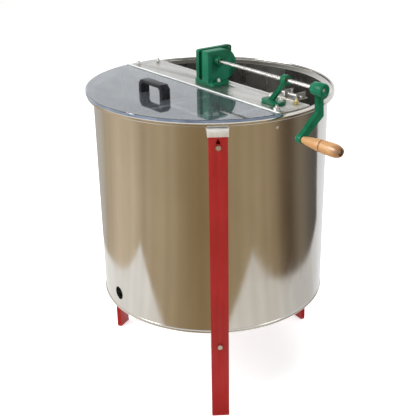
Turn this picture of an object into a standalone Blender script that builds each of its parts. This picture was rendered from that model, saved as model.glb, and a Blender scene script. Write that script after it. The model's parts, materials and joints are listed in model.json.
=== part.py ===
"""Manual honey extractor: a stainless tank on three legs, with a hand-cranked bevel
drive on a crossbar, a caged basket inside and a clear half lid.

Frame: +Z up, +X along the crank shaft towards the crank, -Y towards the lid.
The origin is on the floor, under the middle of the whole object.
Blender's units are metres; the constants below are in millimetres, measured from
the basket's axis and the floor.
"""
import math

import bmesh
import bpy
from mathutils import Matrix, Vector

MM = 0.001
GAP = 0.3                       # running and resting gap between separate pieces

# Middle of the whole object's outline, from the basket's axis
MID_X = 108.9
MID_Y = 4.352

# Heights above the floor
TANK_FOOT = 268.0               # underside of the tank's bottom hem
TANK_HEIGHT = 635.0
RIM_TOP = TANK_FOOT + TANK_HEIGHT

# Tank
TANK_R = 340.0                  # inside radius of the wall
WALL = 1.5
COLLAR_R = 360.0                # outside radius of the collar's turned-down skirt
COLLAR_DROP = 18.0              # skirt's lower edge below the rim
FLARE = 17.0                    # start of the wall's flare below the rim
TANK_STEPS = 60
OUTLET_AZ = math.radians(-93.2)
OUTLET_Z = RIM_TOP - 582.0
OUTLET_R = 20.0

# Stand
LEG_AZ = [math.radians(-35.3 + 120.0 * i) for i in range(3)]
LEG_W = 50.0
LEG_D = 15.0
LEG_T = 2.0
LEG_R = 368.0                   # radius of the legs' outer faces
LEG_TOP = RIM_TOP - 27.0
SOCKET_TOP = RIM_TOP - 19.5
SOCKET_FOOT = RIM_TOP - 40.5
UPPER_BOLT_Z = RIM_TOP - 69.0
LOWER_BOLT_Z = TANK_FOOT - 30.0
ARM_W = 40.0
ARM_T = 6.0
TAB_T = 5.0
HUB_R = 60.0
HUB_UNDERSIDE = TANK_FOOT - GAP - ARM_T

# Crossbar and lid
BAR_FRONT = -53.0
BAR_BACK = 57.0
BAR_T = 4.0
BAR_TOP = RIM_TOP + GAP + BAR_T
BAR_END_R = 358.0
LID_R = 363.6
LID_T = 3.0
LID_LIP = 5.5                   # depth of the lip outside the collar
LID_LIP_T = 1.8
LID_BASE = RIM_TOP + GAP
STRIP_W = 6.0

# Drive
SHAFT_Z = RIM_TOP + 75.0        # crank shaft's height
SHAFT_R = 5.0
SHAFT_FROM = -16.5
SHAFT_TO = 458.0
GEAR_TEETH = 30
PINION_TEETH = 12
MODULE = 1.6
GEAR_R = GEAR_TEETH * MODULE / 2
PINION_R = PINION_TEETH * MODULE / 2
PINION_SEAT_R = 4.0             # radius of the basket shaft inside the pinion
FACE_W = 7.0                    # length of the bevel teeth
FLANGE_TOP = BAR_TOP + GAP + 12.0
CASE_TOP = SHAFT_Z + 29.0
CASE_LEFT = -33.0               # y of the case's flat side; its other side is round
CASE_ROUND_Y = 25.0             # y of the middle of the round side
CASE_X = (5.0, 32.0)
NECK_FROM = -6.0
COVER_X = (-19.0, -11.3)
COVER_Y = (-37.0, 84.0)
COVER_SEAT = (COVER_X[1] + GAP, NECK_FROM)
BOSS_TO = 47.0
BUSH_R = 7.4
BRACKET_X = 318.0
BRACKET_FOOT_X = 272.0

# Crank
HUB_FROM = 419.0
HUB_TO = 462.0
CRANK_HUB_R = 18.0
ARM_X = (433.0, 447.0)
ELBOW = (4.0, -62.0)            # y, z from the shaft's axis
PIN = (-58.0, -118.0)
GRIP_FROM = ARM_X[1] + 2.5
GRIP_LEN = 129.0
GRIP_R = 17.6

# Basket
BASKET_SHAFT_R = 10.0
BASKET_TOP = RIM_TOP - 115.0
BASKET_FOOT = TANK_FOOT + 62.0
CAGE_COUNT = 4
CAGE_W = 310.0
CAGE_D = 46.0
CAGE_T = 2.0
CAGE_R = 215.0                  # from the shaft's axis to the cages' inner faces

root = None


# ---------------------------------------------------------------- helpers

def material(name, color, metallic, roughness):
    mat = bpy.data.materials.new(name)
    mat.use_nodes = True
    shader = mat.node_tree.nodes["Principled BSDF"]
    shader.inputs["Base Color"].default_value = (*color, 1.0)
    shader.inputs["Metallic"].default_value = metallic
    shader.inputs["Roughness"].default_value = roughness
    return mat


def mesh_object(name, bm, mat, parent=None):
    """Make an object from a bmesh given in millimetres above the floor."""
    bmesh.ops.remove_doubles(bm, verts=bm.verts, dist=1e-4)
    bmesh.ops.recalc_face_normals(bm, faces=bm.faces)
    bmesh.ops.scale(bm, vec=(MM, MM, MM), verts=bm.verts)
    mesh = bpy.data.meshes.new(name)
    bm.to_mesh(mesh)
    bm.free()
    mesh.shade_smooth()
    mesh.set_sharp_from_angle(angle=math.radians(35))
    obj = bpy.data.objects.new(name, mesh)
    bpy.context.collection.objects.link(obj)
    if mat is not None:
        obj.data.materials.append(mat)
    obj.parent = parent or root
    return obj


def place(obj, location, rotation=(0.0, 0.0, 0.0)):
    """Put an object at a place in millimetres above the floor, or from its parent."""
    obj.location = Vector(location) * MM
    obj.rotation_euler = rotation
    return obj


def lathe(name, profile, mat, steps=32, closed=False, parent=None):
    """Turn a profile of (radius, height) points about Z."""
    bm = bmesh.new()
    verts = [bm.verts.new((r, 0.0, z)) for r, z in profile]
    edges = [bm.edges.new(pair) for pair in zip(verts, verts[1:])]
    if closed:
        edges.append(bm.edges.new((verts[-1], verts[0])))
    bmesh.ops.spin(bm, geom=verts + edges, cent=(0, 0, 0), axis=(0, 0, 1),
                   angle=2 * math.pi, steps=steps, use_merge=True)
    return mesh_object(name, bm, mat, parent)


def prism(name, outline, low, high, mat, parent=None):
    """Extrude a closed outline of (x, y) points from low to high along Z."""
    bm = bmesh.new()
    face = bm.faces.new([bm.verts.new((x, y, low)) for x, y in outline])
    lifted = bmesh.ops.extrude_face_region(bm, geom=[face])["geom"]
    verts = [item for item in lifted if isinstance(item, bmesh.types.BMVert)]
    bmesh.ops.translate(bm, verts=verts, vec=(0, 0, high - low))
    return mesh_object(name, bm, mat, parent)


def block(name, low, high, mat, parent=None):
    outline = [(low[0], low[1]), (high[0], low[1]), (high[0], high[1]), (low[0], high[1])]
    return prism(name, outline, low[2], high[2], mat, parent)


def rod(name, radius, low, high, mat, steps=20, parent=None):
    """A cylinder along Z; place() turns it to another axis."""
    return lathe(name, [(0, low), (radius, low), (radius, high), (0, high)], mat, steps,
                 parent=parent)


def arc(center, radius, start, end, count):
    """Points on an arc, with the angles in degrees."""
    points = []
    for i in range(count + 1):
        a = math.radians(start + (end - start) * i / count)
        points.append((center[0] + radius * math.cos(a), center[1] + radius * math.sin(a)))
    return points


def rounded(low, high, radius, count=4):
    """Outline of a rectangle with rounded corners."""
    x0, y0 = low[0] + radius, low[1] + radius
    x1, y1 = high[0] - radius, high[1] - radius
    return (arc((x1, y0), radius, -90, 0, count) + arc((x1, y1), radius, 0, 90, count)
            + arc((x0, y1), radius, 90, 180, count) + arc((x0, y0), radius, 180, 270, count))


def combine(obj, other, operation):
    """Boolean with a hidden helper object."""
    other.hide_render = True
    other.display_type = 'WIRE'
    mod = obj.modifiers.new(operation.title(), 'BOOLEAN')
    mod.operation = operation
    mod.object = other
    return obj


def cut(obj, other):
    return combine(obj, other, 'DIFFERENCE')


def join(obj, other):
    return combine(obj, other, 'UNION')


ALONG_X = (0.0, math.pi / 2, 0.0)       # turns a part's +Z to +X


def outward(azimuth):
    """Rotation that turns a part's +Z to the radial direction."""
    return (0.0, math.pi / 2, azimuth)


def radial(radius, azimuth, z):
    return (radius * math.cos(azimuth), radius * math.sin(azimuth), z)


def ring_of(kind, size, z):
    """Twelve points: a hexagon of that width across flats, or a circle of that radius."""
    points = []
    for i in range(12):
        a = math.radians(30 * i)
        r = size
        if kind == "hex":
            r = size / math.sqrt(3) if i % 2 == 0 else size / 2
        points.append((r * math.cos(a), r * math.sin(a), z))
    return points


def hex_part(name, sections, mat, parent=None):
    """One closed body of hexagonal and round sections along Z, given from bottom to top."""
    bm = bmesh.new()
    loops = [[bm.verts.new(p) for p in ring_of(*section)] for section in sections]
    for a, b in zip(loops, loops[1:]):
        for i in range(12):
            j = (i + 1) % 12
            bm.faces.new((a[i], a[j], b[j], b[i]))
    bm.faces.new(loops[0][::-1])
    bm.faces.new(loops[-1])
    return mesh_object(name, bm, mat, parent)


def bolt(name, across, head, radius, length, mat, nut_at=None, stud=0.0, parent=None):
    """Bolt along Z with its head's underside at 0 and its shank going down.

    nut_at is the depth of the upper face of a nut that is one piece with the bolt;
    stud is the height of a threaded end above the head.
    """
    sections = []
    if nut_at is not None:
        depth = nut_at + head
        sections += [("round", radius, -depth - 2.0), ("round", radius, -depth),
                     ("hex", across, -depth), ("hex", across, -nut_at), ("round", radius, -nut_at)]
    else:
        sections += [("round", radius, -length)]
    sections += [("round", radius, 0.0), ("hex", across, 0.0), ("hex", across, head)]
    if stud:
        sections += [("round", radius, head), ("round", radius, head + stud)]
    return hex_part(name, sections, mat, parent)


# ---------------------------------------------------------------- tank

def tank_wall(mat):
    """Rolled wall with a hemmed foot; the rim flares, rolls over and hangs as a skirt."""
    out = TANK_R + WALL
    flare = RIM_TOP - FLARE
    skirt_in = COLLAR_R - WALL
    profile = [(TANK_R, TANK_FOOT), (out + 1.6, TANK_FOOT), (out + 2.2, TANK_FOOT + 2.5),
               (out + 1.6, TANK_FOOT + 7.0), (out, TANK_FOOT + 9.0),
               (out, flare), (out + 3.0, flare + 4.0), (out + 12.0, flare + 8.0),
               (skirt_in, RIM_TOP - 7.5), (skirt_in, RIM_TOP - COLLAR_DROP),
               (COLLAR_R, RIM_TOP - COLLAR_DROP), (COLLAR_R, RIM_TOP - 5.0)]
    profile += arc((COLLAR_R - 2.5, RIM_TOP - 3.2), 3.2, 0, 180, 4)
    profile += [(COLLAR_R - 7.0, RIM_TOP - 6.0), (out + 11.0, flare + 9.5),
                (out + 2.0, flare + 5.5), (TANK_R, flare + 1.0)]
    wall = lathe("tank_wall", profile, mat, TANK_STEPS, closed=True)
    hole = rod("outlet_cutter", OUTLET_R, -10.0, 10.0, None)
    cut(wall, place(hole, radial(TANK_R, OUTLET_AZ, OUTLET_Z), outward(OUTLET_AZ)))
    return wall


def tank_floor(mat):
    """Shallow cone that sheds honey to the wall, with a flat seat for the pivot."""
    edge = TANK_R - GAP
    low = TANK_FOOT + 8.0
    high = TANK_FOOT + 30.0
    profile = [(0, high - 2.0), (40.0, high - 2.0), (edge, low), (edge, low + 12.0),
               (edge - WALL, low + 12.0), (edge - WALL, low + 2.0), (40.0, high), (0, high)]
    return lathe("tank_floor", profile, mat, TANK_STEPS)


# ---------------------------------------------------------------- stand

def leg(index, azimuth, mat):
    """Flat tube with a keyhole above its upper bolt; the lower end stands on the floor."""
    half = LEG_W / 2
    name = f"leg_{index}"
    obj = block(name, (LEG_R - LEG_D, -half, 0.0), (LEG_R, half, LEG_TOP), mat)
    inside = block(name + "_inside", (LEG_R - LEG_D + LEG_T, LEG_T - half, -5.0),
                   (LEG_R - LEG_T, half - LEG_T, LEG_TOP + 5.0), None)
    keyhole = [(0.0, 24.0), (-6.0, 13.0), (-4.5, 9.0), (4.5, 9.0), (6.0, 13.0)]
    slot = prism(name + "_keyhole", [(y, UPPER_BOLT_Z + z) for y, z in keyhole],
                 LEG_R - LEG_T - 3.0, LEG_R + 5.0, None)
    slot.data.transform(Matrix(((0, 0, 1, 0), (1, 0, 0, 0), (0, 1, 0, 0), (0, 0, 0, 1))))
    for tool in (inside, slot):
        cut(obj, tool)
    for item in (obj, inside, slot):
        item.rotation_euler = (0.0, 0.0, azimuth)
    for label, z in (("upper", UPPER_BOLT_Z), ("lower", LOWER_BOLT_Z)):
        hole = rod(f"{name}_{label}_cutter", 5.6, -LEG_D - 3.0, 3.0, None, 12)
        cut(obj, place(hole, radial(LEG_R, azimuth, z), outward(azimuth)))
    return obj


def leg_socket(index, azimuth, mat):
    """Welded socket under the collar: a capped sleeve over the leg's end and two wall wings."""
    name = f"leg_socket_{index}"
    half = LEG_W / 2 + GAP
    t = 2.5
    wing = 5.0
    back = TANK_R + WALL + GAP
    front = LEG_R + GAP
    top = SOCKET_TOP
    low = SOCKET_FOOT
    sleeve = block(name, (back - 4.0, -half - t, low), (front + t, half + t, top), mat)
    hollow = block(name + "_hollow", (LEG_R - LEG_D - GAP, -half, low - 5.0), (front, half, top - t),
                   None)
    cut(sleeve, hollow)
    helpers = [hollow]
    for side in (-1, 1):
        taper = [(0.0, top), (side * (half + wing), top), (side * (half + wing), top - 8.0),
                 (side * (half - 4.0), top - 42.0), (0.0, top - 42.0)]
        plate = prism(f"{name}_wing_{side}", taper, back - 4.0, back + 1.2, None)
        plate.data.transform(Matrix(((0, 0, 1, 0), (1, 0, 0, 0), (0, 1, 0, 0), (0, 0, 0, 1))))
        join(sleeve, plate)
        helpers.append(plate)
    helpers.append(rod(name + "_wall", back, top - 80.0, top + 20.0, None, 96))
    cut(sleeve, helpers[-1])
    for item in [sleeve] + helpers:
        item.rotation_euler = (0.0, 0.0, azimuth)
    return sleeve


def leg_bolts(index, azimuth, mat):
    upper = bolt(f"leg_bolt_upper_{index}", 13.0, 5.0, 4.0, 0.0, mat, LEG_D + 2 * GAP)
    place(upper, radial(LEG_R + GAP, azimuth, UPPER_BOLT_Z), outward(azimuth))
    lower = bolt(f"leg_bolt_lower_{index}", 13.0, 5.0, 4.0, 0.0, mat, LEG_D + TAB_T + 3 * GAP)
    place(lower, radial(LEG_R + GAP, azimuth, LOWER_BOLT_Z), outward(azimuth))


def base_frame(mat):
    """Three flat arms under the tank, each with a drop tab bolted behind its leg."""
    hub = lathe("base_frame", [(0, HUB_UNDERSIDE), (HUB_R, HUB_UNDERSIDE),
                               (HUB_R, HUB_UNDERSIDE + ARM_T), (0, HUB_UNDERSIDE + ARM_T)],
                mat, 48)
    tab_r = LEG_R - LEG_D - GAP
    for i, azimuth in enumerate(LEG_AZ):
        outline = [(20.0, HUB_UNDERSIDE), (tab_r - TAB_T, HUB_UNDERSIDE),
                   (tab_r - TAB_T, LOWER_BOLT_Z - 22.0), (tab_r, LOWER_BOLT_Z - 22.0),
                   (tab_r, HUB_UNDERSIDE + ARM_T), (20.0, HUB_UNDERSIDE + ARM_T)]
        bar = prism(f"base_frame_arm_{i + 1}", outline, -ARM_W / 2, ARM_W / 2, None)
        bar.data.transform(Matrix(((1, 0, 0, 0), (0, 0, -1, 0), (0, 1, 0, 0), (0, 0, 0, 1))))
        bar.rotation_euler = (0.0, 0.0, azimuth)
        join(hub, bar)
    for i, azimuth in enumerate(LEG_AZ):
        hole = rod(f"base_frame_cutter_{i + 1}", 5.6, -12.0, 8.0, None, 12)
        cut(hub, place(hole, radial(tab_r, azimuth, LOWER_BOLT_Z), outward(azimuth)))
    return hub


# ---------------------------------------------------------------- crossbar and lid

def strip_outline(radius, front, back, count=8):
    """Outline of a bar across a circle, with its ends on the circle."""
    a = math.degrees(math.asin(front / radius))
    b = math.degrees(math.asin(back / radius))
    return arc((0, 0), radius, a, b, count) + arc((0, 0), radius, 180 - b, 180 - a, count)


def crossbar(mat):
    """Flat bar across the rim, drilled for the basket shaft and its bolts."""
    obj = prism("crossbar", strip_outline(BAR_END_R, BAR_FRONT, BAR_BACK),
                RIM_TOP + GAP, BAR_TOP, mat)
    cut(obj, rod("crossbar_shaft_cutter", BASKET_SHAFT_R + 5.0, RIM_TOP - 20, BAR_TOP + 20, None))
    return obj


BAR_BOLTS = [(-322.0, -37.0), (-318.0, 34.0), (326.0, -37.0), (322.0, 38.0)]


def bar_bolts(silver, brass):
    """Studs whose nuts clamp the bar's ends; one nut is brass."""
    for i, (x, y) in enumerate(BAR_BOLTS):
        mat = brass if i == 3 else silver
        nut = BAR_T + 3.5 + 3 * GAP
        obj = bolt(f"crossbar_bolt_{i + 1}", 13.0, 6.5, 3.2, 0.0, mat, nut, 6.5)
        place(obj, (x, y, BAR_TOP + GAP))
        cutter = rod(f"crossbar_bolt_cutter_{i + 1}", 3.9, -9.0, 3.0, None, 12)
        cut(bpy.data.objects["crossbar"], place(cutter, (x, y, BAR_TOP)))


def bar_lugs(mat):
    """Angle under each end of the bar, welded to the inside of the wall."""
    width = 45.0
    face = TANK_R - 1.0
    for i, side in enumerate((1, -1)):
        reach = math.degrees(math.asin(width / face))
        turn = 0.0 if side == 1 else 180.0
        outer = arc((0, 0), face, turn - reach, turn + reach, 6)
        inner = arc((0, 0), face - 3.0, turn + reach, turn - reach, 6)
        lug = prism(f"bar_lug_{i + 1}", outer + inner, RIM_TOP - 42.0, RIM_TOP - 1.0, mat)
        shelf = prism(f"bar_lug_shelf_{i + 1}", outer + [(side * 306.0, side * width),
                                                         (side * 306.0, -side * width)],
                      RIM_TOP - 3.5, RIM_TOP, None)
        join(lug, shelf)
        for j, (x, y) in enumerate(BAR_BOLTS):
            if x * side > 0:
                drill = rod(f"bar_lug_cutter_{j + 1}", 3.9, -15.0, 5.0, None, 12)
                cut(lug, place(drill, (x, y, RIM_TOP)))


def half_disc(radius, edge, count):
    """Outline of the part of a disc with y below edge."""
    a = math.degrees(math.asin(edge / radius))
    return arc((0, 0), radius, 180 - a, 360 + a, count)


HANDLE_X = 57.0                 # half length of the lid handle
HANDLE_W = 27.0
HANDLE_H = 38.0
HANDLE_Y = -199.0
HANDLE_LEG = 13.0


def handle_outline():
    """(x, z) outline of a bridge handle with chamfered corners."""
    w, h, t, c = HANDLE_X, HANDLE_H, HANDLE_LEG, 11.0
    left = [(-w, 0.0), (-w + t, 0.0), (-w + t, h - 15.0), (-w + t + 6.0, h - 9.0)]
    right = [(-x, z) for x, z in reversed(left)]
    return left + right + [(w, h - c), (w - c, h), (-w + c, h), (-w, h - c)]


def lid(clear, white, black, steel):
    """Clear front half lid with a lip, an edge strip and a bridge handle."""
    edge = BAR_FRONT - 2 * GAP
    top = LID_BASE + LID_T
    sheet = prism("lid", half_disc(LID_R, edge, 40), LID_BASE, top, clear)
    inner = half_disc(LID_R - LID_LIP_T, edge, 40)
    lip = prism("lid_lip", half_disc(LID_R, edge, 40) + inner[::-1], LID_BASE - LID_LIP,
                LID_BASE + 1.0, None)
    join(sheet, lip)
    half = math.sqrt(LID_R ** 2 - edge ** 2) - 3.0
    block("lid_edge_strip", (-half, edge - STRIP_W, top + GAP), (half, edge, top + GAP + 2.5), white)
    handle = prism("lid_handle", handle_outline(), -HANDLE_W / 2, HANDLE_W / 2, black)
    handle.data.transform(Matrix(((1, 0, 0, 0), (0, 0, -1, 0), (0, 1, 0, 0), (0, 0, 0, 1))))
    place(handle, (0, HANDLE_Y, top + GAP))
    for i, side in enumerate((-1, 1)):
        x = side * (HANDLE_X - HANDLE_LEG / 2)
        screw = lathe(f"handle_screw_{i + 1}", [(0, -4.0), (5.0, -3.4), (5.6, -GAP), (2.0, -GAP),
                                                (2.0, LID_T + GAP + 9.0), (0, LID_T + GAP + 9.0)],
                      steel, 12)
        place(screw, (x, HANDLE_Y, LID_BASE))
        hole = rod(f"lid_cutter_{i + 1}", 2.5, -3.0, LID_T + 3.0, None, 12)
        cut(sheet, place(hole, (x, HANDLE_Y, LID_BASE)))
        socket = rod(f"handle_cutter_{i + 1}", 2.5, -3.0, 10.0, None, 12)
        cut(handle, place(socket, (x, HANDLE_Y, top + GAP)))


# ---------------------------------------------------------------- gearbox

def end_view(points):
    """Turn (y, z) points into the outline of a prism that is then laid along X."""
    return [(-z, y) for y, z in points]


def case_outline(inset):
    """(y, z) outline with a flat left side and a half-round right side."""
    low = FLANGE_TOP - 2.0 + inset
    high = CASE_TOP - inset
    radius = (high - low) / 2
    middle = (CASE_ROUND_Y, (high + low) / 2)
    return arc(middle, radius, -90, 90, 16) + [(CASE_LEFT + inset, high), (CASE_LEFT + inset, low)]


def cover_outline():
    return rounded((COVER_Y[0], FLANGE_TOP + 1.0), (COVER_Y[1], CASE_TOP + 1.0), 8.0, 3)


def gearbox_case(mat):
    """Cast case, open at -X, on a bolted flange, with a boss round the shaft."""
    low = BAR_TOP + GAP
    wall = 3.0
    neck = 3.0
    flange = rounded((-42.0, -29.0), (51.0, 33.0), 10.0, 3)
    case = prism("gearbox_case", flange, low, FLANGE_TOP, mat)
    solids = [prism("case_body", end_view(case_outline(0.0)), *CASE_X, None),
              prism("case_neck", end_view(case_outline(neck)), NECK_FROM - 1.0, CASE_X[0] + 1.0, None),
              prism("case_seat", end_view(cover_outline()), *COVER_SEAT, None)]
    for solid in solids:
        solid.rotation_euler = ALONG_X
        join(case, solid)
    boss = lathe("case_boss", [(0, CASE_X[1] - 2.0), (15.0, CASE_X[1] - 2.0), (13.5, CASE_X[1] + 4.0),
                               (10.5, BOSS_TO), (0, BOSS_TO)], None, 22)
    join(case, place(boss, (0, 0, SHAFT_Z), ALONG_X))
    rooms = [prism("case_room", end_view(case_outline(wall)), CASE_X[0] + 2.0, CASE_X[1] - wall, None),
             prism("neck_room", end_view(case_outline(neck + wall)), COVER_SEAT[0] - 2.0,
                   CASE_X[0] + 3.0, None)]
    for room in rooms:
        room.rotation_euler = ALONG_X
        cut(case, room)
    bore = rod("case_bore", BUSH_R + GAP, CASE_X[0] + 3.0, BOSS_TO + 5.0, None, 24)
    cut(case, place(bore, (0, 0, SHAFT_Z), ALONG_X))
    cut(case, rod("case_shaft_cutter", BASKET_SHAFT_R + 2.5, low - 5.0, FLANGE_TOP + 10.0, None, 24))
    for i, (x, y) in enumerate(FLANGE_BOLTS):
        cut(case, place(rod(f"case_bolt_cutter_{i + 1}", 4.6, low - 3.0, FLANGE_TOP + 3.0, None, 12),
                        (x, y, 0)))
    for i, (y, z) in enumerate(COVER_SCREWS):
        socket = rod(f"case_screw_cutter_{i + 1}", 3.0, COVER_SEAT[0] - 3.0, COVER_SEAT[1] + 3.0, None, 12)
        cut(case, place(socket, (0, y, z), ALONG_X))
    return case


FLANGE_BOLTS = [(-33.0, 2.0), (43.0, -4.0)]
COVER_SCREWS = [(y, z) for y in (COVER_Y[0] + 7.5, COVER_Y[1] - 7.5)
                for z in (FLANGE_TOP + 8.5, CASE_TOP - 6.5)]


def gearbox_cover(mat, steel):
    """Flat cast cover with a blind bearing for the end of the crank shaft."""
    cover = prism("gearbox_cover", end_view(cover_outline()), *COVER_X, mat)
    cover.rotation_euler = ALONG_X
    hole = rod("cover_bore", SHAFT_R + GAP, SHAFT_FROM - GAP, COVER_X[1] + 5.0, None, 24)
    cut(cover, place(hole, (0, 0, SHAFT_Z), ALONG_X))
    for i, (y, z) in enumerate(COVER_SCREWS):
        screw = bolt(f"cover_screw_{i + 1}", 10.0, 4.0, 2.5, 11.5, steel)
        place(screw, (COVER_X[0] - GAP, y, z), (0.0, -math.pi / 2, 0.0))
        socket = rod(f"cover_cutter_{i + 1}", 3.0, COVER_X[0] - 3.0, COVER_X[1] + 3.0, None, 12)
        cut(cover, place(socket, (0, y, z), ALONG_X))
    return cover


def gearbox_bolts(mat):
    for i, (x, y) in enumerate(FLANGE_BOLTS):
        obj = bolt(f"gearbox_bolt_{i + 1}", 11.0, 6.0, 3.8, 11.0, mat, stud=4.0)
        place(obj, (x, y, FLANGE_TOP + GAP))


def ring_points(distance, cone, azimuths):
    """Points at one distance from the cones' apex, along +Z."""
    return [(distance * math.sin(c) * math.cos(a), distance * math.sin(c) * math.sin(a),
             distance * math.cos(c)) for c, a in zip(cone, azimuths)]


def bevel_gear(name, teeth, pitch_cone, distance, rings_behind, bore, front, phase, mat, parent):
    """Straight bevel gear round +Z with the cones' apex at the origin.

    rings_behind are (radius, z) rings from the back of the teeth to the bore.
    """
    tip = pitch_cone + math.atan(0.75 * MODULE / distance)
    root_cone = pitch_cone - math.atan(1.25 * MODULE / distance)
    pitch = 2 * math.pi / teeth
    cones = []
    azimuths = []
    for i in range(teeth):
        middle = phase + i * pitch
        for offset, cone in ((-0.27, root_cone), (-0.12, tip), (0.12, tip), (0.27, root_cone)):
            azimuths.append(middle + offset * pitch)
            cones.append(cone)
    rings = [ring_points(distance - FACE_W, cones, azimuths), ring_points(distance, cones, azimuths)]
    for r, z in rings_behind + [(bore, rings_behind[-1][1]), (bore, front)]:
        rings.append([(r * math.cos(a), r * math.sin(a), z) for a in azimuths])
    bm = bmesh.new()
    loops = [[bm.verts.new(p) for p in ring] for ring in rings]
    count = len(azimuths)
    for a, b in zip(loops, loops[1:] + loops[:1]):
        for i in range(count):
            j = (i + 1) % count
            bm.faces.new((a[i], a[j], b[j], b[i]))
    return mesh_object(name, bm, mat, parent)


def drive_gears(mat, crank_axis, basket_axis):
    """Large bevel gear on the crank shaft and pinion on top of the basket shaft."""
    distance = math.hypot(GEAR_R, PINION_R)
    gear_cone = math.atan2(GEAR_R, PINION_R)
    gear = bevel_gear("bevel_gear", GEAR_TEETH, gear_cone, distance,
                      [(GEAR_R - 3.0, PINION_R + 4.0), (12.0, PINION_R + 4.0), (12.0, 22.0)],
                      SHAFT_R + GAP, PINION_R - 4.0, 0.0, mat, crank_axis)
    gear.rotation_euler = ALONG_X
    pinion = bevel_gear("bevel_pinion", PINION_TEETH, math.pi / 2 - gear_cone, distance,
                        [(PINION_R - 1.5, GEAR_R + 3.0), (8.0, GEAR_R + 3.0), (8.0, GEAR_R + 8.0)],
                        PINION_SEAT_R + GAP, GEAR_R - 7.5, math.pi / PINION_TEETH, mat, basket_axis)
    place(pinion, (0, 0, SHAFT_Z), (math.pi, 0.0, 0.0))


# ---------------------------------------------------------------- crank

def crank_shaft(mat, axis):
    chamfer = 1.0
    profile = [(0, SHAFT_FROM), (SHAFT_R - chamfer, SHAFT_FROM), (SHAFT_R, SHAFT_FROM + chamfer),
               (SHAFT_R, SHAFT_TO - chamfer), (SHAFT_R - chamfer, SHAFT_TO), (0, SHAFT_TO)]
    obj = lathe("crank_shaft", profile, mat, 24, parent=axis)
    obj.rotation_euler = ALONG_X
    return obj


def bush(name, low, high, mat):
    """Plain bush round the crank shaft."""
    obj = lathe(name, [(SHAFT_R + GAP, low), (BUSH_R, low), (BUSH_R, high), (SHAFT_R + GAP, high)],
                mat, 24, closed=True)
    return place(obj, (0, 0, SHAFT_Z), ALONG_X)


def bearing_bracket(mat, bronze, steel):
    """Cast bracket: oval foot on the bar, leaning arm and a ring round the shaft."""
    foot = rounded((BRACKET_FOOT_X - 37.0, -22.0), (BRACKET_FOOT_X + 37.0, 26.0), 23.5, 5)
    low = BAR_TOP + GAP
    half = 8.5
    obj = prism("bearing_bracket", foot, low, low + 7.0, mat)
    lean = [(BRACKET_FOOT_X - 17.0, low + 5.0), (BRACKET_FOOT_X + 1.0, low + 5.0),
            (BRACKET_X + 4.0, SHAFT_Z - 9.0), (BRACKET_X - 6.0, SHAFT_Z - 5.0)]
    arm = prism("bracket_arm", lean, -5.0, 5.0, None)
    arm.data.transform(Matrix(((1, 0, 0, 0), (0, 0, -1, 0), (0, 1, 0, 0), (0, 0, 0, 1))))
    join(obj, arm)
    ring = rod("bracket_ring", 13.5, BRACKET_X - half, BRACKET_X + half, None, 26)
    join(obj, place(ring, (0, 0, SHAFT_Z), ALONG_X))
    hole = rod("bracket_bore", BUSH_R + GAP, BRACKET_X - 20.0, BRACKET_X + 20.0, None, 24)
    cut(obj, place(hole, (0, 0, SHAFT_Z), ALONG_X))
    bush("bracket_bush", BRACKET_X - half + 3.0, BRACKET_X + half - 3.0, bronze)
    for i, (x, y) in enumerate(((BRACKET_FOOT_X - 24.0, 16.0), (BRACKET_FOOT_X + 26.0, 4.0))):
        drill = rod(f"bracket_cutter_{i + 1}", 4.6, low - 3.0, low + 10.0, None, 12)
        cut(obj, place(drill, (x, y, 0)))
        fixing = bolt(f"bracket_bolt_{i + 1}", 12.0, 6.5, 3.8, 6.0, steel, stud=4.5)
        place(fixing, (x, y, low + 7.0 + GAP))
    return obj


def arm_outline():
    """Crank arm in (y, z) from the shaft's axis: straight down, then bent to the pin."""
    half = 8.5
    ey, ez = ELBOW
    py, pz = PIN
    run = Vector((py - ey, pz - ez)).normalized()
    side = Vector((-run.y, run.x)) * half
    end = arc((py, pz), half, math.degrees(math.atan2(-side.y, -side.x)),
              math.degrees(math.atan2(-side.y, -side.x)) + 180.0, 6)
    left = (ey - 9.0, ez + 5.0)
    right = (ey + 11.0, ez - 9.0)
    if (Vector(end[0]) - Vector(right)).length > (Vector(end[-1]) - Vector(right)).length:
        end.reverse()
    return [(-7.0, 0.0)] + [left] + end[::-1] + [right] + [(9.0, 0.0)]


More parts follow.
